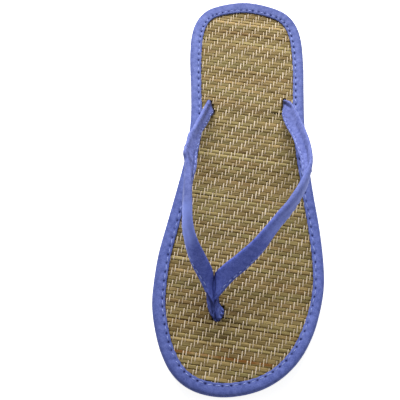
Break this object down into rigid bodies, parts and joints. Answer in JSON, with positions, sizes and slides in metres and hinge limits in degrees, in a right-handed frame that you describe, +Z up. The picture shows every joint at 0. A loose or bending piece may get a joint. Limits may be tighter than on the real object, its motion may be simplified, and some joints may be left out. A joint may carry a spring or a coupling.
{
  "type": "rattan slipper",
  "caption": "Thong slipper for the left foot: flat black foam sole, woven rattan footbed with a blue bound edge, and slim blue straps that join in a toe post.",
  "frame": {"origin": "on the floor, under the middle of the sole", "axes": "+Z up from the floor, +Y along the foot towards the heel (the toe points to -Y), +X towards the outer side of the foot"},
  "size_m": [0.0964, 0.25, 0.0663],
  "materials": {
    "foam": "matt cut foam sheet with fine cells",
    "rattan": "woven straw strips with thin pale threads, natural and slightly glossy",
    "tape": "smooth woven tape, matt, sewn along its inner edge",
    "strap": "smooth cloth over a padded core, matt, sewn along its front edge"
  },
  "bodies": {
    "root": {"outsole": "foam", "insole": "rattan", "edge_binding": "tape", "thong_upper": "strap"}
  },
  "joints": []
}
